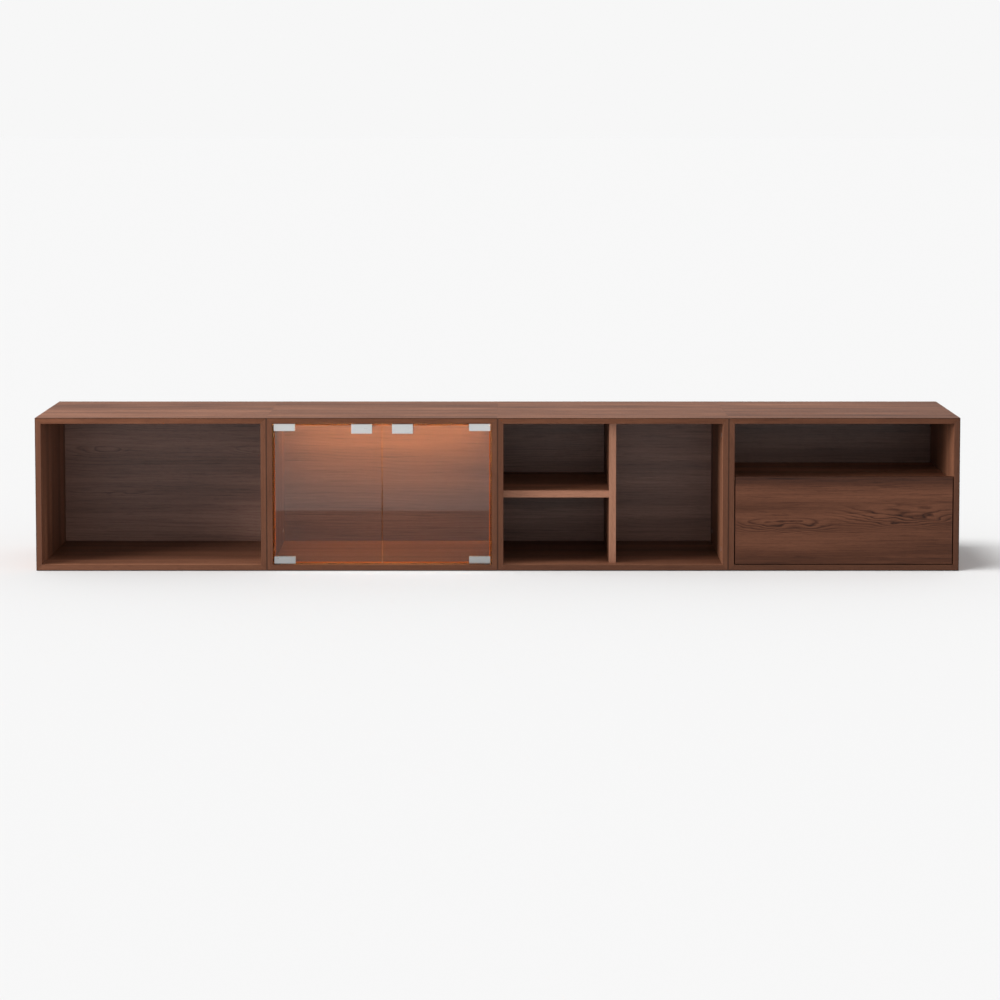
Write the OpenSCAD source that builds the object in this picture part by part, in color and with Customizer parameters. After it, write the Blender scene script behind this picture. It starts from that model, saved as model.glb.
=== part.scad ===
// Low cabinet of four box modules in dark stained veneer, bolted side by side: an open box, a box
// with two inset glass doors and a recessed light, a divided box with a half shelf, and a box with
// a niche over a drawer. The origin is the middle of the footprint on the floor, +Z is up, the
// open fronts face -Y, and the modules run from -X to +X in that order.

/* [Cabinet] */
// Width of one module
module_w = 600; // [500:10:700]
// Height from the floor to the top face
cabinet_h = 400; // [380:5:480]
// Depth from the front edges to the back
cabinet_d = 400; // [390:5:480]
// Thickness of the mitred frame panels
panel_t = 15; // [15:0.5:16]
// Thickness of the back panels
back_t = 6; // [5:0.5:8]
// How far a back panel laps into the frame panels
back_lap = 7; // [4:0.5:8]
// Thickness of the floor pads
pad_t = 1; // [1:0.5:2]

/* [Divided box] */
// Thickness of the divider and of the half shelf
shelf_t = 18; // [15:1:20]
// How far the divider and the half shelf stand back from the front
shelf_setback = 33; // [10:1:60]
// Height of the half shelf's underside above the floor
half_shelf_z = 188; // [120:1:240]

/* [Glass doors] */
// Thickness of the glass
glass_t = 5; // [4:0.5:6]
// How far the front face of the glass stands back from the front
glass_setback = 9; // [8:0.5:14]
// Gap between a leaf and the side panel
door_side_gap = 4.5; // [4:0.5:6]
// Gap between the two leaves
door_centre_gap = 3; // [2:0.5:5]
// Gap between a leaf and the top panel
door_top_gap = 3; // [3:0.1:4]
// Gap between a leaf and the bottom panel
door_bottom_gap = 4; // [4:0.5:6]
// Distance from the side panel to a hinge axis
hinge_inset = 13; // [12.5:0.5:16]

/* [Drawer] */
// Thickness of the drawer front
drawer_front_t = 16; // [15:1:18]
// Height of the drawer front's top edge above the floor
drawer_front_top = 246.5; // [240:0.5:260]
// Gap at each side of the drawer front
drawer_side_gap = 3; // [2:0.5:4]
// Gap under the drawer front
drawer_bottom_gap = 2.5; // [2:0.5:4]
// Height of the niche floor above the floor
niche_floor_z = 233; // [230:1:236]
// Finger gap between the drawer front and the niche floor
finger_gap = 20; // [16:1:30]

/* [Hidden] */
$fn = 48;
eps = 0.01;

// Colours
walnut = [0.38, 0.24, 0.18];
birch = [0.75, 0.63, 0.48];
steel = [0.72, 0.72, 0.72];
chrome = [0.80, 0.81, 0.80];
black = [0.10, 0.10, 0.10];

// The frame of one module. Box numbers: 0 open, 1 glass, 2 divided, 3 drawer.
box_count = 4;
glass_box = 1;
divided_box = 2;
drawer_box = 3;
frame_h = cabinet_h - pad_t;
frame_mid_z = pad_t + frame_h / 2;
inner_w = module_w - 2 * panel_t;
inner_z0 = pad_t + panel_t;
inner_z1 = cabinet_h - panel_t;
front_y = -cabinet_d / 2;
back_y = cabinet_d / 2;
back_face_y = back_y - back_t;
back_clear = 0.3;

// Flat lens-shaped biscuits, three across each mitred corner
biscuit_l = 47;
biscuit_w = 15;
biscuit_t = 4;
biscuit_r = (biscuit_l * biscuit_l + biscuit_w * biscuit_w) / (4 * biscuit_w);
biscuit_in = 7;
biscuit_pitch = 140;
slot_clear = 0.1;

// Two-part connector bolts between neighbouring modules
connector_y = 150;
connector_z = 50;
connector_head_r = 7;
connector_head_t = 1.4;
connector_recess = 1.6;
sleeve_r = 4;
sleeve_reach = 8;
connector_screw_r = 3;
connector_screw_reach = 10;
hex_r = 2.3;
hex_d = 1;

// Round pads under each module
pad_r = 15;
pad_inset = 40;

// Dowels that hold the divider, the half shelf and the niche floor
dowel_r = 4;
dowel_l = 30;
dowel_in_panel = 10;
dowel_inset = 60;
dowel_clear = 0.05;

// Glass doors
glass_z0 = inner_z0 + door_bottom_gap;
glass_z1 = inner_z1 - door_top_gap;
glass_y0 = front_y + glass_setback;
glass_mid_y = glass_y0 + glass_t / 2;
leaf_w = inner_w / 2 - door_side_gap - door_centre_gap / 2;
hinge_x = inner_w / 2 - hinge_inset;
clamp_w = 55;
clamp_h = 18.5;
clamp_front_t = 1.9;
clamp_back_t = 3.4;
clamp_bridge_t = 1.8;
clamp_overhang = 9;
clamp_corner_r = 1.5;
clamp_pad_t = 0.6;
clamp_pad_border = 1.5;
clamp_screw_r = 2;
clamp_screw_inset = 12;
pin_r = 2.5;
pin_l = 6;
pin_clear = 0.05;
bush_r = 4.5;
bush_flange_r = 6;
bush_depth = 6.5;
bush_gap = 0.4;
strike_w = 54;
strike_h = 25;
strike_t = 1.2;
strike_x = door_centre_gap / 2 + 24.5 + strike_w / 2;

// Push latches behind the strike plates
latch_w = 14;
latch_h = 13;
latch_l = 62;
latch_gap = 0.4;
plunger_r = 4;
plunger_clear = 0.05;
plunger_out = 3;
plunger_l = 30;
plunger_travel = 2.5;
latch_y0 = glass_y0 + glass_t + strike_t + latch_gap + plunger_out;

// Light let into the underside of the glass box's top panel
light_l = 540;
light_back = 85;
light_y = back_face_y - light_back;
channel_w = 16;
channel_h = 7.3;
channel_wall = 1;
channel_clear = 0.1;
strip_w = 10;
strip_t = 1;
diffuser_t = 1.2;
end_cap_t = 1.5;

// Rubber grommet for the light's lead, flush with the rear face
grommet_x = 40;
grommet_z = inner_z1 - 15;
grommet_bore_r = 3.5;
grommet_waist_r = 6;
grommet_flange_r = 8;
grommet_flange_t = 1.2;

// Drawer
drawer_front_z0 = inner_z0 + drawer_bottom_gap;
drawer_front_w = inner_w - 2 * drawer_side_gap;
drawer_y0 = front_y + drawer_front_t;
drawer_side_t = 12;
drawer_side_l = 346;
drawer_side_z0 = 32;
drawer_side_z1 = 196;
drawer_bottom_t = 6;
drawer_bottom_z = 40;
drawer_groove = 5;
drawer_groove_clear = 0.2;
niche_floor_y0 = drawer_y0 + finger_gap;
drawer_screw_r = 2;
drawer_screw_head_r = 4;
drawer_screw_head_t = 2.4;
drawer_screw_bite = 10;
drawer_screw_x = 170;
drawer_screw_z = [80, 150];

// Ball-bearing slides, one each side of the drawer. x runs from the cabinet wall to the drawer.
slide_w = 12.7;
slide_l = 340;
slide_y0 = drawer_y0 + 4;
slide_z = 115;
slide_h = 45;
slide_wall = 1.2;
slide_ball_gap = 1;
slide_cabinet_lip = 9.5;
slide_middle_x0 = 2.4;
slide_middle_x1 = 11;
slide_drawer_x0 = 4.8;
slide_middle_h = slide_h - 2 * (slide_wall + slide_ball_gap);
slide_drawer_h = slide_middle_h - 2 * (slide_wall + slide_ball_gap);
slide_screw_r = 1.75;
slide_screw_head_r = 3.2;
slide_screw_head_t = 0.7;
slide_screw_bite = 9;
slide_screw_y = [30, 170, 310];
drawer_box_w = inner_w - 2 * slide_w;

function box_x(i) = (i - (box_count - 1) / 2) * module_w;

// A box between two corners
module block(low, high) {
    translate(low) cube(high - low);
}

// A cylinder along +X or +Y from a point
module rod_x(at, r, l) {
    translate(at) rotate([0, 90, 0]) cylinder(r = r, h = l);
}

module rod_y(at, r, l) {
    translate(at) rotate([-90, 0, 0]) cylinder(r = r, h = l);
}

// Both signs of X, by mirroring
module both_sides() {
    children();
    mirror([1, 0, 0]) children();
}

// ---- Frame panels ----

module biscuit(grow) {
    intersection_for (s = [-1, 1])
        translate([s * (biscuit_r - biscuit_w / 2), 0, -biscuit_t / 2 - grow])
            cylinder(r = biscuit_r + grow, h = biscuit_t + 2 * grow, $fn = 96);
}

// All the biscuits of one module, about the middle of its frame
module box_biscuits(grow) {
    for (mx = [0, 1], mz = [0, 1])
        mirror([mx, 0, 0]) mirror([0, 0, mz])
            for (k = [-1:1])
                translate([
                    inner_w / 2 + biscuit_in / sqrt(2),
                    k * biscuit_pitch,
                    frame_h / 2 - panel_t + biscuit_in / sqrt(2)
                ])
                    rotate([0, 45, 0]) biscuit(grow);
}

// A plate with its outer face down at z = 0 and both ends cut at 45 degrees
module mitred_plate(length) {
    difference() {
        rotate([90, 0, 0])
            linear_extrude(cabinet_d, center = true)
                polygon([
                    [-length / 2, 0], [length / 2, 0],
                    [length / 2 - panel_t, panel_t], [-length / 2 + panel_t, panel_t]
                ]);
        block(
            [-length / 2 - eps, back_face_y, panel_t - back_lap],
            [length / 2 + eps, back_y + eps, panel_t + eps]
        );
    }
}

// The four frame panels, each about the middle of its frame
module frame_bottom() {
    difference() {
        translate([0, 0, -frame_h / 2]) mitred_plate(module_w);
        box_biscuits(slot_clear);
    }
}

module frame_top() {
    mirror([0, 0, 1]) frame_bottom();
}

module frame_left() {
    difference() {
        translate([-module_w / 2, 0, 0]) rotate([0, 90, 0]) mitred_plate(frame_h);
        box_biscuits(slot_clear);
    }
}

module frame_right() {
    mirror([1, 0, 0]) frame_left();
}

module place_box(i) {
    translate([box_x(i), 0, frame_mid_z]) children();
}

module back_panel(i) {
    reach = back_lap - back_clear;
    block(
        [box_x(i) - inner_w / 2 - reach, back_face_y, inner_z0 - reach],
        [box_x(i) + inner_w / 2 + reach, back_y, inner_z1 + reach]
    );
}

// ---- Connector bolts ----

// Where the bolts cross the seams; a seam lies between box s and box s + 1
module connector_places(seams) {
    for (s = seams, sy = [-1, 1], z = [connector_z, cabinet_h - connector_z])
        translate([box_x(s) + module_w / 2, sy * connector_y, z]) children();
}

module connector_holes(seams) {
    connector_places(seams) {
        rod_x([-panel_t - eps, 0, 0], sleeve_r, 2 * panel_t + 2 * eps);
        rod_x([-panel_t - eps, 0, 0], connector_head_r + slot_clear, connector_recess + eps);
        rod_x([panel_t - connector_recess, 0, 0], connector_head_r + slot_clear, connector_recess + eps);
    }
}

module hex_socket(x) {
    translate([x, 0, 0]) rotate([0, 90, 0]) cylinder(r = hex_r, h = hex_d + eps, $fn = 6);
}

module connector_sleeves() {
    color(steel)
        connector_places([0:box_count - 2])
            difference() {
                head_x = -panel_t + connector_recess - connector_head_t;
                union() {
                    rod_x([head_x, 0, 0], connector_head_r, connector_head_t);
                    rod_x([head_x, 0, 0], sleeve_r, sleeve_reach - head_x);
                }
                rod_x([-connector_screw_reach - 1, 0, 0], connector_screw_r, panel_t + sleeve_reach);
                hex_socket(head_x - eps);
            }
}

module connector_screws() {
    color(steel)
        connector_places([0:box_count - 2])
            difference() {
                head_x = panel_t - connector_recess;
                union() {
                    rod_x([head_x, 0, 0], connector_head_r, connector_head_t);
                    rod_x(
                        [-connector_screw_reach, 0, 0], connector_screw_r,
                        head_x + connector_screw_reach + eps
                    );
                }
                hex_socket(head_x + connector_head_t - hex_d);
            }
}

// ---- Dowels ----

// A row of two dowels along Y that enter a shelf end at x, pointing +X from a panel face
module dowel_pair_x(x, z, y0, reach, grow = 0) {
    for (y = [y0 + dowel_inset, back_face_y - dowel_inset])
        rod_x([x - reach - grow, y, z], dowel_r + grow, dowel_l + 2 * grow);
}

divider_x = box_x(divided_box);
shelf_y0 = front_y + shelf_setback;
half_shelf_mid_z = half_shelf_z + shelf_t / 2;
niche_floor_mid_z = niche_floor_z - panel_t / 2;
divided_left_x = box_x(divided_box) - inner_w / 2;
drawer_left_x = box_x(drawer_box) - inner_w / 2;
drawer_right_x = box_x(drawer_box) + inner_w / 2;

module divider_dowels(grow) {
    for (y = [shelf_y0 + dowel_inset, back_face_y - dowel_inset])
        for (z = [inner_z0 - dowel_in_panel, inner_z1 + dowel_in_panel - dowel_l])
            translate([divider_x, y, z - grow]) cylinder(r = dowel_r + grow, h = dowel_l + 2 * grow);
}

module half_shelf_dowels(grow) {
    dowel_pair_x(divided_left_x, half_shelf_mid_z, shelf_y0, dowel_in_panel, grow);
    dowel_pair_x(
        divider_x - shelf_t / 2, half_shelf_mid_z, shelf_y0, dowel_l - dowel_in_panel, grow
    );
}

module niche_floor_dowels(grow) {
    dowel_pair_x(drawer_left_x, niche_floor_mid_z, niche_floor_y0, dowel_in_panel, grow);
    dowel_pair_x(
        drawer_right_x, niche_floor_mid_z, niche_floor_y0, dowel_l - dowel_in_panel, grow
    );
}

module shelf_dowels() {
    color(birch) {
        divider_dowels(0);
        half_shelf_dowels(0);
        niche_floor_dowels(0);
    }
}

// ---- Open box ----

module open_box_top() {
    color(walnut) place_box(0) frame_top();
}

module open_box_bottom() {
    color(walnut) place_box(0) frame_bottom();
}

module open_box_left_side() {
    color(walnut) place_box(0) frame_left();
}

module open_box_right_side() {
    color(walnut) difference() {
        place_box(0) frame_right();
        connector_holes([0]);
    }
}

module open_box_back() {
    color(walnut) back_panel(0);
}

// ---- Glass box ----

module at_glass_box() {
    translate([box_x(glass_box), 0, 0]) children();
}

module pivot_holes(z, way) {
    at_glass_box() both_sides()
        translate([hinge_x, glass_mid_y, z - eps * way])
            mirror([0, 0, way > 0 ? 0 : 1]) cylinder(r = bush_r, h = bush_depth + eps);
}

module light_groove() {
    half = light_l / 2 + end_cap_t + channel_clear;
    half_w = channel_w / 2 + channel_clear;
    at_glass_box()
        block(
            [-half, light_y - half_w, inner_z1 - eps],
            [half, light_y + half_w, inner_z1 + channel_h + channel_clear]
        );
}

module glass_box_top() {
    color(walnut) difference() {
        place_box(glass_box) frame_top();
        pivot_holes(inner_z1, 1);
        light_groove();
    }
}

module glass_box_bottom() {
    color(walnut) difference() {
        place_box(glass_box) frame_bottom();
        pivot_holes(inner_z0, -1);
    }
}

module glass_box_left_side() {
    color(walnut) difference() {
        place_box(glass_box) frame_left();
        connector_holes([0]);
    }
}

module glass_box_right_side() {
    color(walnut) difference() {
        place_box(glass_box) frame_right();
        connector_holes([1]);
    }
}

module glass_box_back() {
    x = box_x(glass_box) - inner_w / 2 + grommet_x;
    color(walnut) difference() {
        back_panel(glass_box);
        rod_y([x, back_face_y - eps, grommet_z], grommet_waist_r, back_t + 2 * eps);
        rod_y([x, back_y - grommet_flange_t, grommet_z], grommet_flange_r, grommet_flange_t + eps);
    }
}

module lead_grommet() {
    x = box_x(glass_box) - inner_w / 2 + grommet_x;
    y0 = back_face_y - grommet_flange_t;
    color(black) difference() {
        union() {
            rod_y([x, y0, grommet_z], grommet_waist_r, back_y - y0);
            rod_y([x, y0, grommet_z], grommet_flange_r, grommet_flange_t);
            rod_y([x, back_y - grommet_flange_t, grommet_z], grommet_flange_r, grommet_flange_t);
        }
        rod_y([x, y0 - eps, grommet_z], grommet_bore_r, back_y - y0 + 2 * eps);
    }
}

// The right-hand leaf is drawn about the glass box's middle, and the left-hand one mirrors it.
module leaf_side(left) {
    at_glass_box() mirror([left ? 1 : 0, 0, 0]) children();
}

module leaf_glass() {
    x1 = inner_w / 2 - door_side_gap;
    block([x1 - leaf_w, glass_y0, glass_z0], [x1, glass_y0 + glass_t, glass_z1]);
}

// Children at the top hinge corner, and mirrored at the bottom one. There the glass edge is at
// z = 0, the hinge axis at x = 0 and the middle of the glass at y = 0.
module hinge_corners() {
    translate([hinge_x, glass_mid_y, glass_z1]) children();
    translate([hinge_x, glass_mid_y, glass_z0]) mirror([0, 0, 1]) children();
}

module clamp_outline() {
    x0 = clamp_overhang - clamp_w;
    z0 = clamp_bridge_t - clamp_h;
    r = clamp_corner_r;
    hull() {
        translate([x0 + r, z0 + r]) circle(r = r, $fn = 32);
        translate([clamp_overhang - r, z0 + r]) circle(r = r, $fn = 32);
        translate([x0, clamp_bridge_t - r]) square([clamp_w, r]);
    }
}

clamp_y0 = -glass_t / 2 - clamp_pad_t - clamp_front_t;
clamp_y1 = glass_t / 2 + clamp_pad_t + clamp_back_t;

module clamp_screw_places() {
    z = (clamp_bridge_t - clamp_h) / 2;
    for (x = [-clamp_screw_inset, clamp_overhang - clamp_w + clamp_screw_inset])
        translate([x, 0, z]) children();
}

module clamps() {
    hinge_corners() difference() {
        translate([0, clamp_y1, 0])
            rotate([90, 0, 0]) linear_extrude(clamp_y1 - clamp_y0) clamp_outline();
        block(
            [clamp_overhang - clamp_w - eps, -glass_t / 2 - clamp_pad_t, -clamp_h],
            [clamp_overhang + eps, glass_t / 2 + clamp_pad_t, 0]
        );
        clamp_screw_places() rod_y([0, 0, 0], clamp_screw_r, clamp_y1 + eps);
        translate([0, 0, -eps]) cylinder(r = pin_r, h = clamp_bridge_t + 2 * eps);
    }
}

module clamp_pads() {
    x0 = clamp_overhang - clamp_w + clamp_pad_border;
    x1 = inner_w / 2 - door_side_gap - hinge_x;
    z0 = clamp_bridge_t - clamp_h + clamp_pad_border;
    hinge_corners()
        for (y = [-glass_t / 2 - clamp_pad_t, glass_t / 2])
            block([x0, y, z0], [x1, y + clamp_pad_t, 0]);
}

module clamp_screws() {
    y0 = glass_t / 2 + clamp_pad_t;
    hinge_corners() clamp_screw_places() difference() {
        rod_y([0, y0, 0], clamp_screw_r, clamp_back_t);
        translate([0, clamp_y1 - hex_d, 0])
            rotate([-90, 0, 0]) cylinder(r = clamp_screw_r / 2, h = hex_d + eps, $fn = 6);
    }
}

module hinge_pins() {
    translate([hinge_x, glass_mid_y, glass_z1])
        cylinder(r = pin_r, h = door_top_gap + pin_l);
    translate([hinge_x, glass_mid_y, inner_z0 - pin_l])
        cylinder(r = pin_r, h = door_bottom_gap + pin_l);
}

module strike_plate() {
    x0 = strike_x - strike_w / 2;
    y1 = glass_y0 + glass_t;
    z1 = glass_z1 + strike_t;
    difference() {
        block([x0, glass_y0 - strike_t, z1 - strike_h], [x0 + strike_w, y1 + strike_t, z1]);
        block([x0 - eps, glass_y0, z1 - strike_h - eps], [x0 + strike_w + eps, y1, glass_z1]);
    }
}

module left_door_glass() {
    color([0.75, 0.60, 0.50, 0.4]) leaf_side(true) leaf_glass();
}

module right_door_glass() {
    color([0.75, 0.60, 0.50, 0.4]) leaf_side(false) leaf_glass();
}

module left_door_clamps() {
    color(chrome) leaf_side(true) clamps();
}

module right_door_clamps() {
    color(chrome) leaf_side(false) clamps();
}

module left_door_pads() {
    color(black) leaf_side(true) clamp_pads();
}

module right_door_pads() {
    color(black) leaf_side(false) clamp_pads();
}

module left_door_screws() {
    color(steel) leaf_side(true) clamp_screws();
}

module right_door_screws() {
    color(steel) leaf_side(false) clamp_screws();
}

module left_door_pins() {
    color(steel) leaf_side(true) hinge_pins();
}

module right_door_pins() {
    color(steel) leaf_side(false) hinge_pins();
}

module left_strike_plate() {
    color(chrome) leaf_side(true) strike_plate();
}

module right_strike_plate() {
    color(chrome) leaf_side(false) strike_plate();
}

// Flanged bushes for the hinge pins. Each flange fills the door gap but for bush_gap.
module bush(gap) {
    flange_t = gap - clamp_bridge_t - bush_gap;
    translate([0, 0, -flange_t]) difference() {
        union() {
            cylinder(r = bush_r, h = bush_depth + flange_t);
            cylinder(r = bush_flange_r, h = flange_t);
        }
        translate([0, 0, -eps])
            cylinder(r = pin_r + pin_clear, h = bush_depth + flange_t + 2 * eps);
    }
}

module pivot_bushes() {
    color([0.86, 0.85, 0.80]) at_glass_box() both_sides() {
        translate([hinge_x, glass_mid_y, inner_z1]) bush(door_top_gap);
        translate([hinge_x, glass_mid_y, inner_z0]) mirror([0, 0, 1]) bush(door_bottom_gap);
    }
}

module plunger_rod(grow, extra) {
    rod_y(
        [strike_x, latch_y0 - plunger_out, inner_z1 - latch_h / 2],
        plunger_r + grow, plunger_l + extra
    );
}

module latch_housings() {
    color([0.85, 0.84, 0.81]) at_glass_box() both_sides() difference() {
        block(
            [strike_x - latch_w / 2, latch_y0, inner_z1 - latch_h],
            [strike_x + latch_w / 2, latch_y0 + latch_l, inner_z1]
        );
        plunger_rod(plunger_clear, plunger_travel + 1);
    }
}

module left_latch_plunger() {
    color(steel) leaf_side(true) plunger_rod(0, 0);
}

module right_latch_plunger() {
    color(steel) leaf_side(false) plunger_rod(0, 0);
}

module light_channel() {
    half = light_l / 2;
    color([0.83, 0.84, 0.85]) at_glass_box() difference() {
        block(
            [-half, light_y - channel_w / 2, inner_z1],
            [half, light_y + channel_w / 2, inner_z1 + channel_h]
        );
        block(
            [-half - eps, light_y - channel_w / 2 + channel_wall, inner_z1 - eps],
            [half + eps, light_y + channel_w / 2 - channel_wall, inner_z1 + channel_h - channel_wall]
        );
    }
}

module light_circuit_strip() {
    z1 = inner_z1 + channel_h - channel_wall;
    color([0.95, 0.93, 0.85]) at_glass_box()
        block(
            [-light_l / 2, light_y - strip_w / 2, z1 - strip_t],
            [light_l / 2, light_y + strip_w / 2, z1]
        );
}

module light_diffuser() {
    half_w = channel_w / 2 - channel_wall;
    color([1, 0.9, 0.75]) at_glass_box()
        block(
            [-light_l / 2, light_y - half_w, inner_z1],
            [light_l / 2, light_y + half_w, inner_z1 + diffuser_t]
        );
}

module light_end_caps() {
    color([0.83, 0.84, 0.85]) at_glass_box() both_sides()
        block(
            [light_l / 2, light_y - channel_w / 2, inner_z1],
            [light_l / 2 + end_cap_t, light_y + channel_w / 2, inner_z1 + channel_h]
        );
}

// ---- Divided box ----

module divided_box_top() {
    color(walnut) difference() {
        place_box(divided_box) frame_top();
        divider_dowels(dowel_clear);
    }
}

module divided_box_bottom() {
    color(walnut) difference() {
        place_box(divided_box) frame_bottom();
        divider_dowels(dowel_clear);
    }
}

module divided_box_left_side() {
    color(walnut) difference() {
        place_box(divided_box) frame_left();
        connector_holes([1]);
        half_shelf_dowels(dowel_clear);
    }
}

module divided_box_right_side() {
    color(walnut) difference() {
        place_box(divided_box) frame_right();
        connector_holes([2]);
    }
}

module divided_box_back() {
    color(walnut) back_panel(divided_box);
}

module divider() {
    color(walnut) difference() {
        block(
            [divider_x - shelf_t / 2, shelf_y0, inner_z0],
            [divider_x + shelf_t / 2, back_face_y, inner_z1]
        );
        divider_dowels(dowel_clear);
        half_shelf_dowels(dowel_clear);
    }
}

module half_shelf() {
    color(walnut) difference() {
        block(
            [divided_left_x, shelf_y0, half_shelf_z],
            [divider_x - shelf_t / 2, back_face_y, half_shelf_z + shelf_t]
        );
        half_shelf_dowels(dowel_clear);
    }
}

// ---- Drawer box ----

module drawer_box_top() {
    color(walnut) place_box(drawer_box) frame_top();
}

module drawer_box_bottom() {
    color(walnut) place_box(drawer_box) frame_bottom();
}

module drawer_box_left_side() {
    color(walnut) difference() {
        place_box(drawer_box) frame_left();
        connector_holes([2]);
        niche_floor_dowels(dowel_clear);
        cabinet_slide_screws(dowel_clear);
    }
}

module drawer_box_right_side() {
    color(walnut) difference() {
        place_box(drawer_box) frame_right();
        niche_floor_dowels(dowel_clear);
        cabinet_slide_screws(dowel_clear);
    }
}

module drawer_box_back() {
    color(walnut) back_panel(drawer_box);
}

module niche_floor() {
    color(walnut) difference() {
        block(
            [drawer_left_x, niche_floor_y0, niche_floor_z - panel_t],
            [drawer_right_x, back_face_y, niche_floor_z]
        );
        niche_floor_dowels(dowel_clear);
    }
}

// ---- Drawer ----

module at_drawer_box() {
    translate([box_x(drawer_box), 0, 0]) children();
}

// Shanks that reach a little way into their heads
module drawer_screw_rods(grow) {
    y = drawer_y0 - drawer_screw_bite;
    l = drawer_screw_bite + drawer_side_t + drawer_screw_head_t / 4;
    for (x = [-drawer_screw_x, drawer_screw_x], z = drawer_screw_z)
        rod_y([x, y - grow, z], drawer_screw_r + grow, l + 2 * grow);
}

module drawer_front() {
    color(walnut) at_drawer_box() difference() {
        block(
            [-drawer_front_w / 2, front_y, drawer_front_z0],
            [drawer_front_w / 2, drawer_y0, drawer_front_top]
        );
        drawer_screw_rods(dowel_clear);
    }
}

// The bottom panel's reach into the grooves of the panels around it
module drawer_bottom_block(grow) {
    half = drawer_box_w / 2 - drawer_side_t + drawer_groove + grow;
    block(
        [-half, drawer_y0 + drawer_side_t - drawer_groove - grow, drawer_bottom_z - grow],
        [
            half,
            drawer_y0 + drawer_side_l - drawer_side_t + drawer_groove + grow,
            drawer_bottom_z + drawer_bottom_t + grow
        ]
    );
}

module drawer_side() {
    difference() {
        block(
            [drawer_box_w / 2 - drawer_side_t, drawer_y0, drawer_side_z0],
            [drawer_box_w / 2, drawer_y0 + drawer_side_l, drawer_side_z1]
        );
        drawer_bottom_block(drawer_groove_clear);
        drawer_slide_screws(dowel_clear);
    }
}

module drawer_cross_panel(y) {
    half = drawer_box_w / 2 - drawer_side_t;
    difference() {
        block([-half, y, drawer_side_z0], [half, y + drawer_side_t, drawer_side_z1]);
        drawer_bottom_block(drawer_groove_clear);
    }
}

module drawer_left_side() {
    color(walnut) at_drawer_box() mirror([1, 0, 0]) drawer_side();
}

module drawer_right_side() {
    color(walnut) at_drawer_box() drawer_side();
}

module drawer_inner_front() {
    color(walnut) at_drawer_box() difference() {
        drawer_cross_panel(drawer_y0);
        drawer_screw_rods(dowel_clear);
    }
}

module drawer_rear() {
    color(walnut) at_drawer_box() drawer_cross_panel(drawer_y0 + drawer_side_l - drawer_side_t);
}

module drawer_bottom() {
    color(walnut) at_drawer_box() drawer_bottom_block(0);
}

// Pan-head screws through the inner front, and the slides' screws into the drawer sides
module drawer_screws() {
    head_y = drawer_y0 + drawer_side_t;
    color(steel) at_drawer_box() {
        drawer_screw_rods(0);
        for (x = [-drawer_screw_x, drawer_screw_x], z = drawer_screw_z)
            difference() {
                rod_y([x, head_y, z], drawer_screw_head_r, drawer_screw_head_t);
                translate([x, head_y + drawer_screw_head_t - hex_d, z])
                    rotate([-90, 0, 0]) cylinder(r = hex_r, h = hex_d + eps, $fn = 6);
            }
        both_sides() drawer_slide_screws(0);
    }
}

// ---- Slides ----

// A channel along Y on the drawer box's right: its web lies at web_x, measured from the cabinet
// wall, and its lips reach from x0 to x1
module slide_profile(h, web_x, x0, x1) {
    wall_x = inner_w / 2;
    y0 = slide_y0;
    y1 = slide_y0 + slide_l;
    block(
        [wall_x - web_x - slide_wall, y0, slide_z - h / 2],
        [wall_x - web_x, y1, slide_z + h / 2]
    );
    for (z = [slide_z - h / 2, slide_z + h / 2 - slide_wall])
        block([wall_x - x1, y0, z], [wall_x - x0, y1, z + slide_wall]);
}

module slide_cabinet_members() {
    color(steel) at_drawer_box() both_sides() difference() {
        slide_profile(slide_h, 0, 0, slide_cabinet_lip);
        slide_screw_holes(inner_w / 2 - slide_wall);
    }
}

module slide_middle_members() {
    color(steel) at_drawer_box() both_sides()
        slide_profile(slide_middle_h, slide_middle_x0, slide_middle_x0, slide_middle_x1);
}

module slide_drawer_members() {
    color(steel) at_drawer_box() both_sides() difference() {
        slide_profile(slide_drawer_h, slide_w - slide_wall, slide_drawer_x0, slide_w);
        slide_screw_holes(inner_w / 2 - slide_w);
    }
}

module slide_screw_holes(x) {
    for (y = slide_screw_y)
        rod_x([x - eps, slide_y0 + y, slide_z], slide_screw_r, slide_wall + 2 * eps);
}

// One screw through a web: its head sits at x, and it bites towards +X
module slide_screw(x, y, grow) {
    rod_x([x - slide_screw_head_t, y, slide_z], slide_screw_head_r, slide_screw_head_t);
    rod_x([x - eps, y, slide_z], slide_screw_r + grow, slide_wall + slide_screw_bite + grow);
}

// Screws from the cabinet members into the drawer box's sides
module cabinet_slide_screws(grow) {
    at_drawer_box() both_sides()
        for (y = slide_screw_y) slide_screw(inner_w / 2 - slide_wall, slide_y0 + y, grow);
}

// Screws from the drawer members into the drawer's sides, on the right-hand side
module drawer_slide_screws(grow) {
    for (y = slide_screw_y)
        translate([inner_w / 2 - slide_w + slide_wall, slide_y0 + y, 0])
            mirror([1, 0, 0]) slide_screw(0, 0, grow);
}

module slide_screws() {
    color(steel) cabinet_slide_screws(0);
}

// ---- Shared pieces ----

module mitre_biscuits() {
    color(birch) for (i = [0:box_count - 1]) place_box(i) box_biscuits(0);
}

module floor_pads() {
    color(black)
        for (i = [0:box_count - 1], sx = [-1, 1], sy = [-1, 1])
            translate([
                box_x(i) + sx * (module_w / 2 - pad_inset),
                sy * (cabinet_d / 2 - pad_inset),
                0
            ])
                cylinder(r = pad_r, h = pad_t);
}

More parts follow.
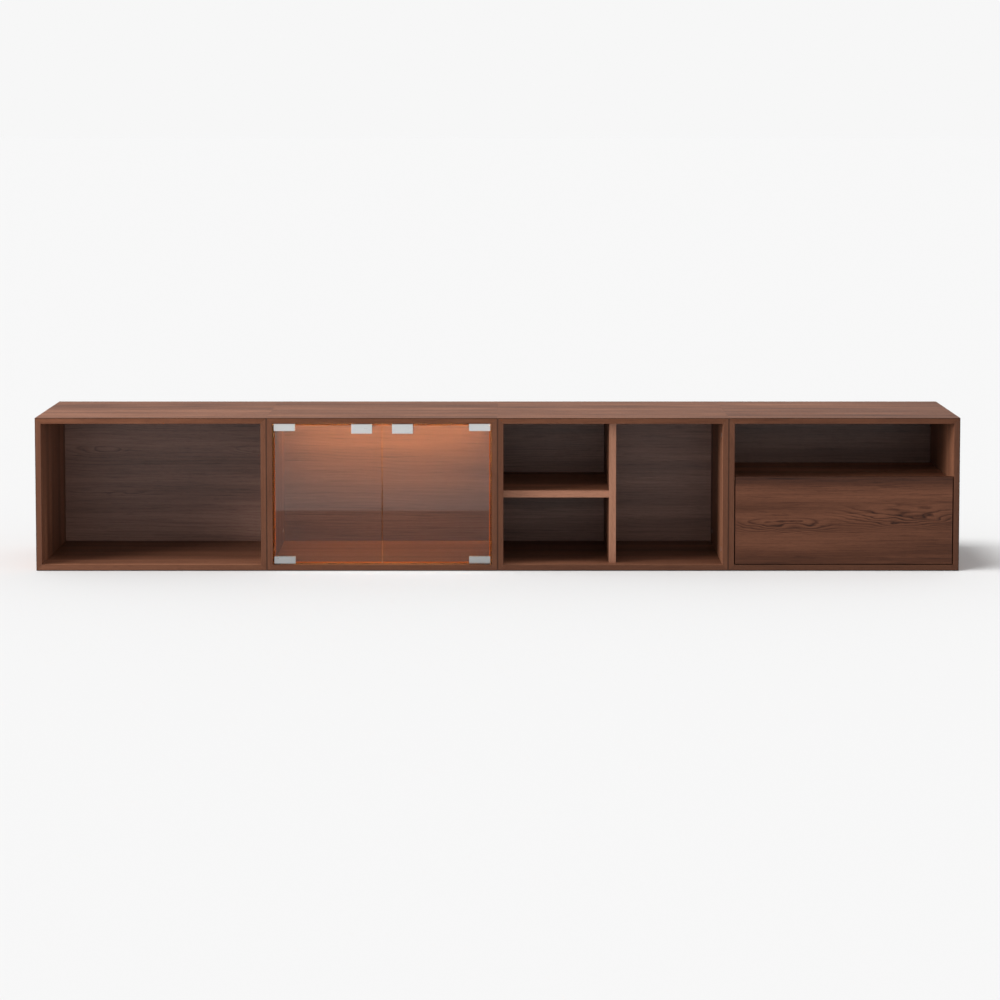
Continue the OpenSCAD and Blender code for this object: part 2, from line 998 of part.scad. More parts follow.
open_box_top();
open_box_bottom();
open_box_left_side();
open_box_right_side();
open_box_back();
glass_box_top();
glass_box_bottom();
glass_box_left_side();
glass_box_right_side();
glass_box_back();
divided_box_top();
divided_box_bottom();
divided_box_left_side();
divided_box_right_side();
divided_box_back();
drawer_box_top();
drawer_box_bottom();
drawer_box_left_side();
drawer_box_right_side();
drawer_box_back();
mitre_biscuits();
connector_sleeves();
connector_screws();
floor_pads();
divider();
half_shelf();
niche_floor();
shelf_dowels();
left_door_glass();
left_door_clamps();
left_door_pads();
left_door_screws();
left_door_pins();
left_strike_plate();
right_door_glass();
right_door_clamps();
right_door_pads();
right_door_screws();
right_door_pins();
right_strike_plate();
pivot_bushes();
latch_housings();
left_latch_plunger();
right_latch_plunger();
light_channel();
light_circuit_strip();
light_diffuser();
light_end_caps();
lead_grommet();
drawer_front();
drawer_left_side();
drawer_right_side();
drawer_inner_front();
drawer_rear();
drawer_bottom();
drawer_screws();
slide_cabinet_members();
slide_middle_members();
slide_drawer_members();
slide_screws();
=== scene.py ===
"""Looks of the low four-box cabinet: dark stained veneer, tinted glass doors with a warm light
behind them, satin chrome clamps, and a pale studio. Everything is in metres, in the row's frame."""

import math

import bpy
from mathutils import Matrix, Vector


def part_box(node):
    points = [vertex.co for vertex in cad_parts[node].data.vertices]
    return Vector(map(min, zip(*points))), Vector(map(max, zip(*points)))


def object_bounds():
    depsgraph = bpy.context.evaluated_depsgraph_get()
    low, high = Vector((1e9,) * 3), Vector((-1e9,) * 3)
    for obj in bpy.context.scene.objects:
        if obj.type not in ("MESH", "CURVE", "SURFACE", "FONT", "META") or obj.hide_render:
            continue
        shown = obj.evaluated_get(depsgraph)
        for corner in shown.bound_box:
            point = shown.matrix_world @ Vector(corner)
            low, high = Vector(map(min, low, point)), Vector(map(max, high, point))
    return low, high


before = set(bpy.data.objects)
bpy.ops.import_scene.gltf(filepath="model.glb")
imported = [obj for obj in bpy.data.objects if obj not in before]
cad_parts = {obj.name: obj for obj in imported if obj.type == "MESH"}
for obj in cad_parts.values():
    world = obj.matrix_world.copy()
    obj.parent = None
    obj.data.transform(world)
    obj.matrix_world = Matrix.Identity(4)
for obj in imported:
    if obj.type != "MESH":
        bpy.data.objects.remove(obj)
cad_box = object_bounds()

FRONT_Y = cad_box[0].y
X_AXIS, Y_AXIS, Z_AXIS = 0, 1, 2


# ---- Shader building ----

class Shader:
    """One material. Most methods add nodes and give back an output socket. Where a method takes a
    value, it is a plain one or a socket."""

    def __init__(self, name):
        self.material = bpy.data.materials.new(name)
        self.material.use_nodes = True
        self.tree = self.material.node_tree
        self.tree.nodes.clear()
        self.output = self.tree.nodes.new("ShaderNodeOutputMaterial")

    def node(self, kind, **settings):
        made = self.tree.nodes.new("ShaderNode" + kind)
        for key, value in settings.items():
            setattr(made, key, value)
        return made

    def plug(self, value, socket):
        if isinstance(value, bpy.types.NodeSocket):
            self.tree.links.new(value, socket)
        elif value is not None:
            socket.default_value = value

    def maths(self, operation, a, b=None, c=None, clamp=False):
        made = self.node("Math", operation=operation, use_clamp=clamp)
        for value, socket in zip((a, b, c), made.inputs):
            self.plug(value, socket)
        return made.outputs[0]

    def swing(self, value, amount, base):
        """The base, moved up or down as a value from 0 to 1 lies above or below its middle."""
        return self.maths("MULTIPLY_ADD", self.maths("SUBTRACT", value, 0.5), amount, base)

    def bell(self, away):
        """A bell curve: 1 in the middle, and near 0 beyond a distance of 2."""
        return self.maths("EXPONENT", self.maths("MULTIPLY", self.maths("MULTIPLY", away, away), -1.0))

    def place(self):
        """The row frame's own coordinates, which ride with a moving body."""
        return self.node("TexCoord").outputs["Object"]

    def split(self, vector):
        made = self.node("SeparateXYZ")
        self.plug(vector, made.inputs[0])
        return list(made.outputs)

    def join(self, x, y, z):
        made = self.node("CombineXYZ")
        for value, socket in zip((x, y, z), made.inputs):
            self.plug(value, socket)
        return made.outputs[0]

    def noise(self, vector, scale, offset=(0, 0, 0), detail=2.0, rough=0.5, distortion=0.0):
        """Noise with a number of lumps per metre for each axis."""
        stretched = self.node("Mapping")
        self.plug(vector, stretched.inputs["Vector"])
        stretched.inputs["Scale"].default_value = scale
        stretched.inputs["Location"].default_value = offset
        made = self.node("TexNoise")
        self.plug(stretched.outputs[0], made.inputs["Vector"])
        made.inputs["Scale"].default_value = 1.0
        made.inputs["Detail"].default_value = detail
        made.inputs["Roughness"].default_value = rough
        made.inputs["Distortion"].default_value = distortion
        return made.outputs[0]

    def fibres(self, place, lumps, **settings):
        """Noise drawn out along the grain. lumps is how many there are in a metre along and across it."""
        along, across = lumps
        return self.noise(place, (along, across, across), **settings)

    def ramp(self, value, stops):
        """stops are (place, grey or (r, g, b))."""
        made = self.node("ValToRGB")
        elements = made.color_ramp.elements
        while len(elements) < len(stops):
            elements.new(1.0)
        for element, (place, colour) in zip(elements, stops):
            rgb = colour if isinstance(colour, tuple) else (colour,) * 3
            element.position = place
            element.color = (*rgb, 1.0)
        self.plug(value, made.inputs[0])
        return made.outputs[0]

    def mix(self, share, a, b, blend="MIX"):
        made = self.node("Mix", data_type="RGBA", blend_type=blend)
        for value, socket in ((share, 0), (a, 6), (b, 7)):
            if isinstance(value, tuple):
                value = (*value, 1.0)
            self.plug(value, made.inputs[socket])
        return made.outputs[2]

    def rim_distance(self, box):
        """How far a point lies inside a box, seen from the front."""
        x, _, z = self.split(self.place())
        low, high = box
        sides = self.maths("MINIMUM", self.maths("SUBTRACT", x, low.x), self.maths("SUBTRACT", high.x, x))
        ends = self.maths("MINIMUM", self.maths("SUBTRACT", z, low.z), self.maths("SUBTRACT", high.z, z))
        return self.maths("MINIMUM", sides, ends)

    def bump(self, height, strength, distance):
        made = self.node("Bump")
        made.inputs["Strength"].default_value = strength
        made.inputs["Distance"].default_value = distance
        self.plug(height, made.inputs["Height"])
        return made.outputs[0]

    def surface(self, kind, **values):
        """A shader of some kind, with its named inputs set."""
        made = self.node(kind)
        for key, value in values.items():
            if isinstance(value, tuple):
                value = (*value, 1.0)
            self.plug(value, made.inputs[key.replace("_", " ").title().replace("Ior", "IOR")])
        return made.outputs[0]

    def mix_surfaces(self, share, a, b):
        made = self.node("MixShader")
        for value, socket in zip((share, a, b), made.inputs):
            self.plug(value, socket)
        return made.outputs[0]

    def show(self, surface):
        """Makes a shader the material's surface, and gives back the material."""
        self.tree.links.new(surface, self.output.inputs["Surface"])
        return self.material

    def principled(self, **values):
        return self.show(self.surface("BsdfPrincipled", **values))


def shaded(colour, factor):
    return tuple(factor * c for c in colour)


# ---- Wood ----

# Stained veneer, from the dark of the late wood to the light of the early wood
WALNUT = ((0.035, 0.0124, 0.0065), (0.124, 0.0493, 0.0263), (0.257, 0.1120, 0.0635))
# Its front edges are banded a little darker, and the drawer front is a redder leaf
EDGE_WALNUT = ((0.045, 0.0150, 0.0070), (0.100, 0.0365, 0.0178), (0.168, 0.0660, 0.0335))
FRONT_WALNUT = ((0.022, 0.0067, 0.0031), (0.078, 0.0262, 0.0124), (0.162, 0.0600, 0.0305))
# The thin back boards are stained greyer and have more sheen
BACK_WALNUT = ((0.080, 0.0385, 0.0265), (0.215, 0.1100, 0.0800), (0.370, 0.2080, 0.1580))
# Pale edge banding on the divider and the half shelf
PALE_WALNUT = ((0.125, 0.0530, 0.0310), (0.290, 0.1310, 0.0785), (0.410, 0.2050, 0.1340))
# Raw wood, for the hidden joinery
BEECH = ((0.30, 0.17, 0.09), (0.50, 0.33, 0.19), (0.66, 0.48, 0.31))

# Some panels are lighter or darker than the rest: partly the veneer's own tone, partly painted light and
# shade for how much light reaches each niche
LEAF_TONE_AND_PAINTED_LIGHT = {
    "half_shelf": 1.9, "niche_floor": 2.5,
    "open_box_bottom": 1.2, "glass_box_bottom": 1.15, "divided_box_bottom": 1.22,
    "open_box_left_side": 1.4, "divided_box_right_side": 1.2,
    "drawer_box_left_side": 0.8, "drawer_box_right_side": 1.35,
    "open_box_back": 1.1, "divided_box_back": 1.35, "drawer_box_back": 0.82,
}

# Features of the veneer: how many there are in a metre, along the grain and across it
DRIFT = (1.3, 6.0)
RIPPLE = (8.0, 40.0)
SWIRL = (11.0, 42.0)
PATCH = (1.6, 9.0)
BAND = (0.8, 17.0)
COARSE_STREAK = (3.5, 60.0)
STREAK = (4.0, 190.0)
FLECK = (9.0, 170.0)
PORE = (55.0, 1500.0)

# Ring lines: their distance apart, how they slope to the board's edge, how many rings the slow drift
# moves them by, and their tone from one dark line to the next, with about its mean
RING_PITCH = 0.0085
RING_SLOPE = 0.012
RING_DRIFT = 12.0
RING_PROFILE = [(0.0, 0.0), (0.16, 0.62), (0.45, 0.95), (0.78, 1.0), (0.93, 0.35), (1.0, 0.0)]
RING_MEAN = 0.72

# The middle tone, and how strongly each feature shows in it
MEAN_TONE = 0.53
BAND_STRENGTH = 1.3
STREAK_STRENGTH = 0.55
FLECK_STRENGTH = 0.16
PORE_STRENGTH = 0.3
# How far a band at a set place wanders across the board
BAND_WANDER = 0.03
# How far the painted shade reaches in from the rim of a module
PAINTED_RIM_SHADE_WIDTH = 0.003
# How far apart in the log two panels are cut, along each axis, for a whole step of seed
SEED_STEPS = (7.3, 3.1, 1.7)


def shaded_tones(tones, factor):
    return tuple(shaded(tone, factor) for tone in tones)


def spread(tones):
    """Three tones as the stops of a ramp."""
    return list(zip((0.0, 0.5, 1.0), tones))


def panel_seed(name):
    """A steady number from 0 to 1 for each panel, so that no two show the same veneer."""
    return (sum((i + 1) * ord(c) for i, c in enumerate(name)) % 97) / 97.0


def grain_axes(s, grain, faces_up):
    """The panel's own axes: along the grain, across it on the broad face, and into the board."""
    axes = s.split(s.place())
    if grain == Z_AXIS:
        return axes[Z_AXIS], axes[Y_AXIS], axes[X_AXIS]
    if grain == Y_AXIS:
        return axes[Y_AXIS], axes[Z_AXIS], axes[X_AXIS]
    if faces_up:
        return axes[X_AXIS], axes[Y_AXIS], axes[Z_AXIS]
    return axes[X_AXIS], axes[Z_AXIS], axes[Y_AXIS]


def ring_lines(s, place, along, across, figures, figured, wildness):
    """How much the ring lines darken the wood. Slow noise bends them, and more so in the figures."""
    phase = s.maths("DIVIDE", s.maths("MULTIPLY_ADD", along, RING_SLOPE, across), RING_PITCH)
    phase = s.maths("MULTIPLY_ADD", s.fibres(place, DRIFT), RING_DRIFT, phase)
    phase = s.maths("ADD", s.fibres(place, RIPPLE), phase)
    wild = None
    for at, off, length, width, bend in figures:
        x = s.maths("DIVIDE", s.maths("SUBTRACT", along, at), length)
        z = s.maths("DIVIDE", s.maths("SUBTRACT", across, off), width)
        near = s.bell(s.maths("ADD", s.maths("MULTIPLY", x, x), s.maths("MULTIPLY", z, z)))
        swirl = s.fibres(place, SWIRL, offset=(at, off, 0), rough=0.45, distortion=0.2)
        phase = s.maths("MULTIPLY_ADD", s.maths("MULTIPLY", near, bend), swirl, phase)
        wild = near if wild is None else s.maths("MAXIMUM", wild, near)
    patch = s.fibres(place, PATCH, offset=(9.0, 0, 0), detail=1.0)
    strength = s.maths("MULTIPLY", s.ramp(patch, [(0.38, 0.25), (0.68, 1.6)]), figured)
    if wild is not None:
        strength = s.maths("MULTIPLY_ADD", wild, wildness, strength, clamp=True)
    ring = s.ramp(s.maths("FRACT", phase), RING_PROFILE)
    return s.maths("MULTIPLY", s.maths("SUBTRACT", RING_MEAN, ring), strength)


def broad_tone(s, place, across, streak, streaked, coarse, bands):
    """Broad bands of tone, fibre streaks and short dark flecks, from 0 for dark to 1 for light."""
    band = s.fibres(place, BAND, offset=(3.0, 0, 0), detail=3.0)
    fleck = s.fibres(place, FLECK, offset=(0, 0, 8.0), detail=1.0)
    tone = s.swing(band, BAND_STRENGTH * streaked, MEAN_TONE)
    tone = s.swing(streak, STREAK_STRENGTH, tone)
    tone = s.maths("MULTIPLY_ADD", s.ramp(fleck, [(0.30, 1.0), (0.40, 0.0)]), -FLECK_STRENGTH, tone)
    if coarse:
        tone = s.swing(s.fibres(place, COARSE_STREAK, offset=(0, 2.0, 0), rough=0.6), coarse, tone)
    for off, width, lift in bands:
        wavy = s.maths("MULTIPLY_ADD", band, BAND_WANDER, across)
        away = s.maths("DIVIDE", s.maths("ADD", wavy, -off - BAND_WANDER / 2), width)
        tone = s.maths("MULTIPLY_ADD", s.bell(away), lift, tone)
    return tone


def edge_banded(s, colour, tone, front, banding, rim):
    """The board's colour, with its edge band at the front, which has painted shade along the rim."""
    band_colour = s.ramp(s.swing(tone, 0.6, 0.5), spread(banding))
    if rim:
        # Painted shade: the edge band darkens where modules meet and along their top and bottom edges
        inwards = s.maths("DIVIDE", s.rim_distance(rim), PAINTED_RIM_SHADE_WIDTH)
        painted_rim_shade = s.ramp(inwards, [(0.0, 0.30), (0.45, 0.55), (0.85, 1.0)])
        band_colour = s.mix(1.0, band_colour, painted_rim_shade, "MULTIPLY")
    on_edge = s.maths("LESS_THAN", s.split(s.place())[Y_AXIS], front)
    return s.mix(on_edge, colour, band_colour)


def wood(
    name, grain, seed, tones=WALNUT, faces_up=False, figures=(), figured=0.12, wildness=0.75,
    streaked=1.0, coarse=0.0, bands=(), edge=None, gloss=0.2, rough=0.50,
):
    """Veneer with its grain along one axis.

    figures are (along, across, half length, half width, bend), where the grain runs wild round a knot,
    and wildness is the strength of the ring lines there. figured is their strength elsewhere.
    streaked is the strength of the broad bands of tone. bands are more of those, at set places:
    (across, half width, lift). coarse is the strength of streaks a few centimetres apart.
    edge is (y, tones, rim): nearer the front than y the board shows its edge band. rim is the outer
    box of its module, along whose seams and edges the band has painted shade, or None.
    """
    s = Shader(name)
    along, across, deep = grain_axes(s, grain, faces_up)
    axes = zip((along, across, deep), SEED_STEPS)
    place = s.join(*[s.maths("ADD", axis, step * seed) for axis, step in axes])

    streak = s.fibres(place, STREAK, offset=(0, 5.0, 0), detail=3.0, rough=0.6)
    pores = s.ramp(s.fibres(place, PORE, detail=1.0), [(0.34, 0.0), (0.44, 1.0)])
    lines = ring_lines(s, place, along, across, figures, figured, wildness)
    tone = broad_tone(s, place, across, streak, streaked, coarse, bands)
    tone = s.maths("SUBTRACT", tone, lines, clamp=True)
    colour = s.ramp(tone, spread(tones))
    if edge:
        colour = edge_banded(s, colour, tone, *edge)
    in_pore = s.maths("MULTIPLY", s.maths("SUBTRACT", 1.0, pores), PORE_STRENGTH)
    colour = s.mix(in_pore, colour, shaded(tones[0], 0.6))

    roughness = s.maths("MULTIPLY_ADD", streak, 0.16, s.maths("MULTIPLY_ADD", pores, -0.08, rough))
    height = s.maths("MULTIPLY_ADD", pores, 0.6, s.maths("MULTIPLY", streak, 0.4))
    return s.principled(
        base_color=colour, roughness=roughness, specular_ior_level=gloss,
        normal=s.bump(height, 0.35, 0.0002),
    )


# ---- Other materials ----

def metal(name, colour, rough, brushed=X_AXIS):
    """Fine brushed or plated metal, with a slow change of sheen over it."""
    s = Shader(name)
    scale = [900.0] * 3
    scale[brushed] = 20.0
    brush = s.noise(s.place(), tuple(scale))
    cloud = s.noise(s.place(), (30.0,) * 3)
    sheen = s.maths("MULTIPLY_ADD", cloud, 0.08, rough - 0.1)
    return s.principled(
        base_color=s.mix(cloud, shaded(colour, 0.93), colour), metallic=1.0,
        roughness=s.maths("MULTIPLY_ADD", brush, 0.12, sheen), normal=s.bump(brush, 0.15, 0.00005),
    )


def plastic(name, colour, rough):
    """Moulded plastic or rubber with a fine texture."""
    s = Shader(name)
    fine = s.noise(s.place(), (900.0,) * 3)
    cloud = s.noise(s.place(), (40.0,) * 3)
    return s.principled(
        base_color=s.mix(cloud, shaded(colour, 0.88), colour),
        roughness=s.maths("MULTIPLY_ADD", fine, 0.12, rough - 0.06), normal=s.bump(fine, 0.2, 0.0001),
    )


LIGHT_COLOUR = (1.0, 0.59, 0.19)
LIGHT_STRENGTH = 119.0
# The lamps of the circuit show a little through the diffuser
LAMP_PITCH = 0.0167
LAMP_RIPPLE = 0.06


def lit_diffuser(name):
    """A frosted strip, brightest over each lamp of the circuit."""
    s = Shader(name)
    lamps = s.maths("SINE", s.maths("MULTIPLY", s.split(s.place())[X_AXIS], 2 * math.pi / LAMP_PITCH))
    even = s.maths("MULTIPLY_ADD", lamps, LAMP_RIPPLE, 1.0 - LAMP_RIPPLE)
    return s.principled(
        base_color=(0.9, 0.8, 0.65), roughness=0.6,
        emission_color=s.mix(1.0, LIGHT_COLOUR, s.join(even, even, even), "MULTIPLY"),
        emission_strength=LIGHT_STRENGTH,
    )


GLASS_TINT = (0.870, 0.812, 0.791)
GLASS_IOR = 1.5
# The glass mirrors this many times what Fresnel says, and the floor that it mirrors is dimmed by this
# share. The picture is the same as with half the mirror and a floor that isn't dimmed, and much cleaner.
GLASS_MIRROR = 3.8
MIRROR_DIMMING = 0.5
# Along the doors' ground outer edges the glass is a deep orange brown
GLASS_EDGE = (0.56, 0.15, 0.040)
GLASS_EDGE_WIDTH = 0.0022
GLASS_EDGE_COVER = 0.8
# The share of light that passes such an edge, and isn't scattered back
GLASS_EDGE_THROUGH = 0.6


def tinted_glass(name, doors):
    """Thin clear glass. Each face lets the tint through, and the outer ones mirror by Fresnel.

    doors is the box round both panes, whose outer edges are ground and catch the light."""
    s = Shader(name)
    haze = s.noise(s.place(), (3.0,) * 3)
    through = s.surface("BsdfTransparent", color=s.mix(haze, shaded(GLASS_TINT, 0.985), GLASS_TINT))
    mirror = s.surface("BsdfGlossy", color=(1.0, 1.0, 1.0), roughness=0.0)
    outside = s.maths("SUBTRACT", 1.0, s.node("NewGeometry").outputs["Backfacing"])
    fresnel = s.maths("MULTIPLY", s.surface("Fresnel", ior=GLASS_IOR), GLASS_MIRROR)
    clear = s.mix_surfaces(s.maths("MULTIPLY", fresnel, outside, clamp=True), through, mirror)

    edge_tint = s.mix(haze, shaded(GLASS_EDGE, 0.9), GLASS_EDGE)
    ground = s.mix_surfaces(
        GLASS_EDGE_THROUGH, s.surface("BsdfDiffuse", color=edge_tint),
        s.surface("BsdfTranslucent", color=edge_tint),
    )
    near_edge = s.maths("LESS_THAN", s.rim_distance(doors), GLASS_EDGE_WIDTH)
    return s.show(s.mix_surfaces(s.maths("MULTIPLY", near_edge, GLASS_EDGE_COVER), clear, ground))


# ---- Dressing the CAD nodes ----

BOXES = ("open_box", "glass_box", "divided_box", "drawer_box")
LEVEL = [f"{b}_{p}" for b in BOXES for p in ("top", "bottom")]
LEVEL += ["half_shelf", "niche_floor", "drawer_bottom"]
BACKS = [f"{b}_back" for b in BOXES]
UPRIGHT = [f"{b}_{p}" for b in BOXES for p in ("left_side", "right_side")] + ["divider"]
CROSSWISE = ["drawer_front", "drawer_inner_front", "drawer_rear"]
DRAWER_SIDES = ["drawer_left_side", "drawer_right_side"]

# Where the grain runs wild: shares of the panel's width and height, half length, half width, bend
DRAWER_FIGURES = [(0.23, 0.43, 0.140, 0.022, 5.0), (0.77, 0.54, 0.160, 0.033, 4.5)]
OPEN_BACK_FIGURES = [
    (0.17, 0.67, 0.075, 0.013, 3.0), (0.22, 0.36, 0.110, 0.014, 3.0), (0.90, 0.67, 0.060, 0.012, 3.0),
]
# Bands of tone along the drawer front: distance under its top edge, half width, lift
DRAWER_BANDS = [
    (0.010, 0.013, -0.20), (0.047, 0.019, 0.17), (0.105, 0.020, -0.06),
    (0.150, 0.014, 0.11), (0.180, 0.008, -0.08), (0.214, 0.009, -0.05),
]

EDGE_BAND = 0.0010
# How round sharp edges are, on sanded wood, cast metal and ground glass
WOOD_ROUND = 0.0006
CHROME_ROUND = 0.0004
GLASS_ROUND = 0.0006


def dress(name, material):
    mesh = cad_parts[name].data
    mesh.materials.clear()
    mesh.materials.append(material)


def ease_edges(name, width):
    """Joins a CAD node's triangles into flat faces, and rounds its sharp edges a little."""
    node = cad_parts[name]
    weld = node.modifiers.new("weld", "WELD")
    weld.merge_threshold = 0.00002
    flat = node.modifiers.new("flat", "DECIMATE")
    flat.decimate_type = "DISSOLVE"
    flat.angle_limit = math.radians(0.5)
    bevel = node.modifiers.new("bevel", "BEVEL")
    bevel.width = width
    bevel.segments = 2
    bevel.limit_method = "ANGLE"
    bevel.angle_limit = math.radians(40)
    bevel.harden_normals = False


def edge_band(name):
    """Where the board's edge band starts, its tones, and the module whose rim it is part of."""
    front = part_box(name)[0].y + EDGE_BAND
    if name in ("half_shelf", "divider"):
        return front, shaded_tones(PALE_WALNUT, 1.12 if name == "half_shelf" else 1.02), None
    module = next((b for b in BOXES if name.startswith(b)), None)
    if module is None:
        return front, EDGE_WALNUT, None
    rim = (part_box(module + "_left_side")[0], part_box(module + "_right_side")[1])
    # Painted light: top panels' edge bands lighter and bottom ones darker, as light from above makes them
    painted_light_from_above = 1.14 if name.endswith("_top") else 0.96 if name.endswith("_bottom") else 1.05
    return front, shaded_tones(EDGE_WALNUT, painted_light_from_above), rim


def placed_figures(name, figures):
    """Figures given in shares of a panel's width and height, at their places in the row's frame."""
    low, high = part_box(name)
    wide, tall = high.x - low.x, high.z - low.z
    return [(low.x + x * wide, low.z + z * tall, *shape) for x, z, *shape in figures]


def panel_look(name):
    """What wood() is told of a panel."""
    # Each panel's tones carry painted light and shade for its niche, with its veneer's own tone
    tones = shaded_tones(WALNUT, LEAF_TONE_AND_PAINTED_LIGHT.get(name, 1.0))
    if name in LEVEL:
        look = dict(grain=X_AXIS, tones=tones, faces_up=True, edge=edge_band(name))
        if name.endswith("_top"):
            look.update(streaked=0.65, coarse=0.9, gloss=0.13)
        return look
    if name in BACKS:
        # The backs' tones carry painted light and shade for their niches too
        tones = shaded_tones(BACK_WALNUT, LEAF_TONE_AND_PAINTED_LIGHT.get(name, 1.0))
        look = dict(grain=X_AXIS, tones=tones, wildness=0.3, gloss=0.5, rough=0.38)
        if name == "open_box_back":
            look.update(figures=placed_figures(name, OPEN_BACK_FIGURES))
        if name == "glass_box_back":
            look.update(streaked=0.6)
        return look
    if name in UPRIGHT:
        return dict(grain=Z_AXIS, tones=tones, edge=edge_band(name))
    if name in DRAWER_SIDES:
        return dict(grain=Y_AXIS)
    look = dict(grain=X_AXIS, figured=0.10)
    if name == "drawer_front":
        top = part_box(name)[1].z
        bands = [(top - down, width, lift) for down, width, lift in DRAWER_BANDS]
        look.update(tones=FRONT_WALNUT, figures=placed_figures(name, DRAWER_FIGURES), bands=bands)
    return look


def dress_wood():
    for name in LEVEL + BACKS + UPRIGHT + CROSSWISE + DRAWER_SIDES:
        dress(name, wood(name, seed=panel_seed(name), **panel_look(name)))
        ease_edges(name, WOOD_ROUND)


def dress_fittings():
    chrome = metal("satin_chrome", (0.74, 0.745, 0.74), 0.30)
    zinc = metal("zinc_steel", (0.66, 0.67, 0.68), 0.38, Y_AXIS)
    blackened = metal("blackened_steel", (0.07, 0.07, 0.072), 0.42, Y_AXIS)
    aluminium = metal("anodised_aluminium", (0.80, 0.81, 0.82), 0.42)
    rubber = plastic("black_rubber", (0.03, 0.03, 0.03), 0.75)
    nylon = plastic("black_nylon", (0.022, 0.022, 0.022), 0.5)
    circuit = plastic("light_circuit", (0.85, 0.82, 0.74), 0.45)
    beech = wood("beech_joinery", X_AXIS, 0.5, BEECH)
    panes = [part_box("left_door_glass"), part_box("right_door_glass")]
    glass = tinted_glass("tinted_glass", (panes[0][0], panes[1][1]))
    finishes = {
        chrome: ["left_door_clamps", "right_door_clamps", "left_strike_plate", "right_strike_plate"],
        zinc: [
            "connector_sleeves", "connector_screws", "left_door_screws", "right_door_screws",
            "left_door_pins", "right_door_pins", "left_latch_plunger", "right_latch_plunger",
            "drawer_screws",
        ],
        blackened: [
            "slide_cabinet_members", "slide_middle_members", "slide_drawer_members", "slide_screws",
        ],
        aluminium: ["light_channel", "light_end_caps"],
        rubber: ["floor_pads", "left_door_pads", "right_door_pads", "lead_grommet"],
        nylon: ["pivot_bushes", "latch_housings"],
        circuit: ["light_circuit_strip"],
        beech: ["mitre_biscuits", "shelf_dowels"],
        glass: ["left_door_glass", "right_door_glass"],
        lit_diffuser("light_diffuser"): ["light_diffuser"],
    }
    for material, names in finishes.items():
        for name in names:
            dress(name, material)
    for name in finishes[chrome]:
        ease_edges(name, CHROME_ROUND)
    for name in finishes[glass]:
        ease_edges(name, GLASS_ROUND)


# ---- Studio ----

FLOOR_SIZE = 200.0
FLOOR_GREY = 0.82
# How bright the surroundings are for the camera, and for everything else
BACKDROP = 0.93
SKY = 0.54
FLOOR_SUN = 2.07
FLOOR_SUN_TRAVEL = (0.42, 0.16, -1.0)
FLOOR_SUN_ANGLE = 26.0
# name, place, aim, width, height, watts
LAMPS = [
    ("key", (-4.3, -2.0, 1.8), (-0.3, 0.0, 0.2), 1.5, 1.0, 112.0),
    ("low", (-4.3, -2.0, 0.8), (-0.3, 0.0, 0.2), 1.5, 0.8, 46.0),
    ("near", (-2.2, -1.0, 0.8), (-0.6, 0.0, 0.2), 0.5, 0.5, 11.0),
    ("overhead", (0.0, -0.2, 3.0), (0.0, 0.0, 0.4), 3.0, 2.0, 102.0),
    ("side", (-5.0, -0.8, 1.2), (0.0, 0.0, 0.2), 1.5, 1.5, 250.0),
    ("fill", (4.0, -3.0, 1.0), (-0.6, 0.0, 0.2), 1.5, 1.0, 10.0),
]
# The floor that the glass mirrors is as bright as the backdrop, but for a darker strip before the cabinet
MIRROR_STRIP = 1.03
MIRROR_STRIP_GREY = 0.44
MIRROR_SIZE = 60.0
MIRROR_HEIGHT = 0.002

# The camera stands this far in front of the fronts and this high, and looks a little down
CAMERA_AWAY = 7.0383
CAMERA_UP = 1.2056
CAMERA_RIGHT = 0.0064
CAMERA_PITCH = 4.0536
CAMERA_LENS = 98.298
CAMERA_SENSOR = 36.0
CAMERA_SHIFT = -0.2


def add_plane(name, size, height):
    bpy.ops.mesh.primitive_plane_add(size=size, location=(0, 0, height))
    plane = bpy.context.object
    plane.name = name
    return plane


def add_to_scene(name, data):
    thing = bpy.data.objects.new(name, data)
    bpy.context.scene.collection.objects.link(thing)
    return thing


def facing(direction):
    """The rotation of a lamp that shines in a direction."""
    return Vector(direction).to_track_quat("-Z", "Y").to_euler()


def make_camera():
    data = bpy.data.cameras.new("camera")
    data.sensor_width = CAMERA_SENSOR
    data.lens = CAMERA_LENS
    data.shift_y = CAMERA_SHIFT
    camera = add_to_scene("camera", data)
    camera.location = (CAMERA_RIGHT, FRONT_Y - CAMERA_AWAY, CAMERA_UP)
    camera.rotation_euler = (math.radians(90 - CAMERA_PITCH), 0, 0)
    bpy.context.scene.camera = camera


def make_world():
    """Soft white light from all round, and a plain backdrop as bright as the floor."""
    world = bpy.data.worlds.new("studio")
    bpy.context.scene.world = world
    world.use_nodes = True
    tree = world.node_tree
    back = tree.nodes["Background"]
    seen = tree.nodes.new("ShaderNodeLightPath")
    pick = tree.nodes.new("ShaderNodeMix")
    tree.links.new(seen.outputs["Is Camera Ray"], pick.inputs[0])
    pick.inputs[2].default_value = SKY
    pick.inputs[3].default_value = BACKDROP
    back.inputs["Color"].default_value = (1.0, 1.0, 1.0, 1.0)
    tree.links.new(pick.outputs[0], back.inputs["Strength"])


def make_floor():
    """A wide pale floor, at the height the cabinet stands on."""
    floor = add_plane("studio_floor", FLOOR_SIZE, cad_box[0].z)
    s = Shader("studio_floor")
    floor.data.materials.append(s.principled(
        base_color=(FLOOR_GREY,) * 3, roughness=0.9, specular_ior_level=0.0,
    ))
    return floor


def limit_light(light, things, only_these):
    """Keeps a light to some things alone, or off them. The floor stays evenly pale that way."""
    receivers = bpy.data.collections.new(light.name + "_receivers")
    for thing in things:
        receivers.objects.link(thing)
    light.light_linking.receiver_collection = receivers
    if not only_these:
        for link in receivers.collection_objects:
            link.light_linking.link_state = "EXCLUDE"


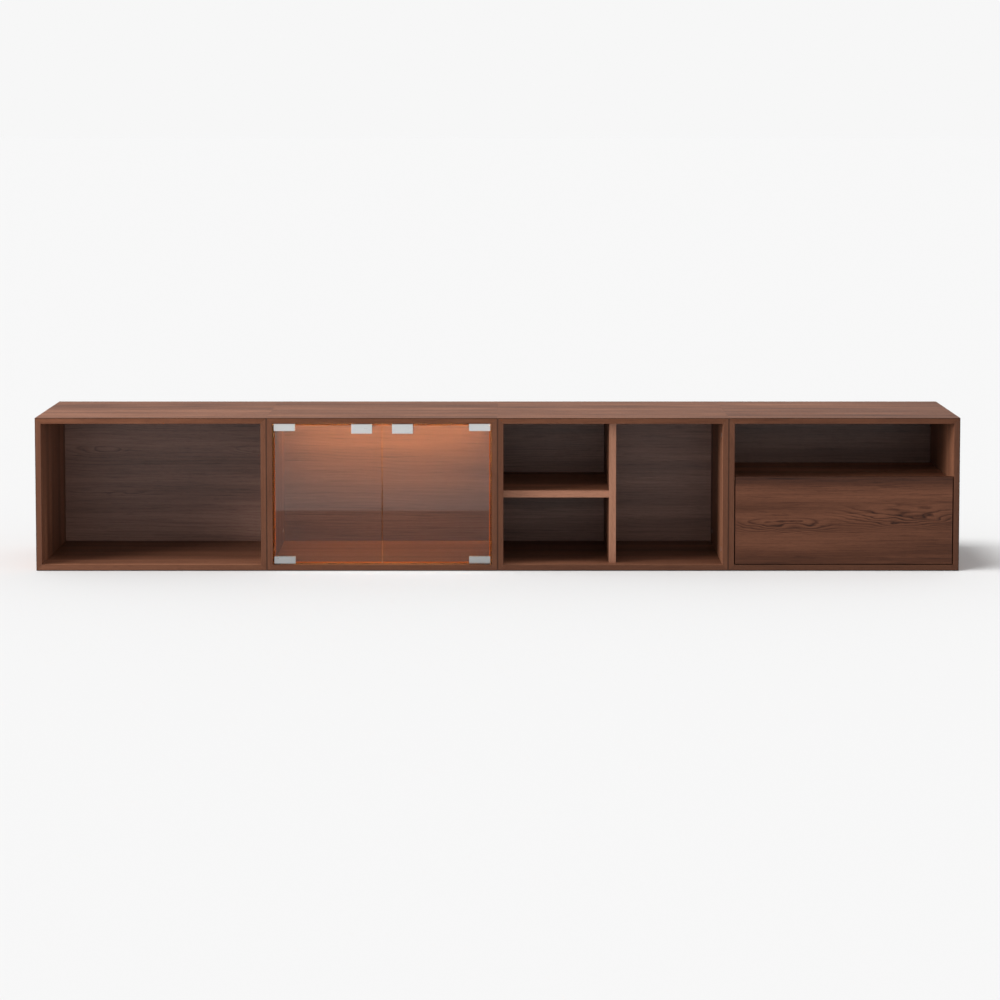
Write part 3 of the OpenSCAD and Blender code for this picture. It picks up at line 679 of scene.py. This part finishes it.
def make_lamps(floor):
    """Lamps for the cabinet, and a soft sun for the floor."""
    for name, place, aim, width, height, watts in LAMPS:
        data = bpy.data.lights.new(name, "AREA")
        data.shape = "RECTANGLE"
        data.size = width
        data.size_y = height
        data.energy = watts
        lamp = add_to_scene(name, data)
        lamp.location = place
        lamp.rotation_euler = facing(Vector(aim) - Vector(place))
        lamp.visible_camera = False
        unlit = [floor]
        if name == "side":
            # It would throw a red glow from the cabinet's end on to the floor, and glare off the tops
            unlit.append(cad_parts["open_box_left_side"])
            lamp.visible_glossy = False
        limit_light(lamp, unlit, False)
    data = bpy.data.lights.new("floor_sun", "SUN")
    data.energy = FLOOR_SUN
    data.angle = math.radians(FLOOR_SUN_ANGLE)
    sun = add_to_scene("floor_sun", data)
    sun.rotation_euler = facing(FLOOR_SUN_TRAVEL)
    sun.visible_glossy = False
    limit_light(sun, [floor], True)


def make_mirror_floor():
    """An even glowing sheet just over the floor that only reflections see, so that they are clean."""
    sheet = add_plane("mirror_floor", MIRROR_SIZE, MIRROR_HEIGHT)
    s = Shader("mirror_floor")
    y = s.split(s.place())[Y_AXIS]
    before = s.maths("LESS_THAN", y, FRONT_Y)
    beyond = s.maths("GREATER_THAN", y, FRONT_Y - MIRROR_STRIP)
    in_strip = s.maths("MULTIPLY", before, beyond)
    bright = s.maths("MULTIPLY_ADD", in_strip, MIRROR_STRIP_GREY - BACKDROP, BACKDROP)
    in_glass = s.node("LightPath").outputs["Is Singular Ray"]
    dimmed = s.maths("MULTIPLY_ADD", in_glass, -MIRROR_DIMMING, 1.0)
    sheet.data.materials.append(s.show(s.surface("Emission", strength=s.maths("MULTIPLY", bright, dimmed))))
    sheet.visible_camera = False
    sheet.visible_diffuse = False
    sheet.visible_transmission = False
    sheet.visible_shadow = False


bpy.context.scene.view_settings.view_transform = "Standard"
make_camera()
make_world()
floor = make_floor()
make_lamps(floor)
make_mirror_floor()
dress_wood()
dress_fittings()
limit_light(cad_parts["light_diffuser"], [floor], False)
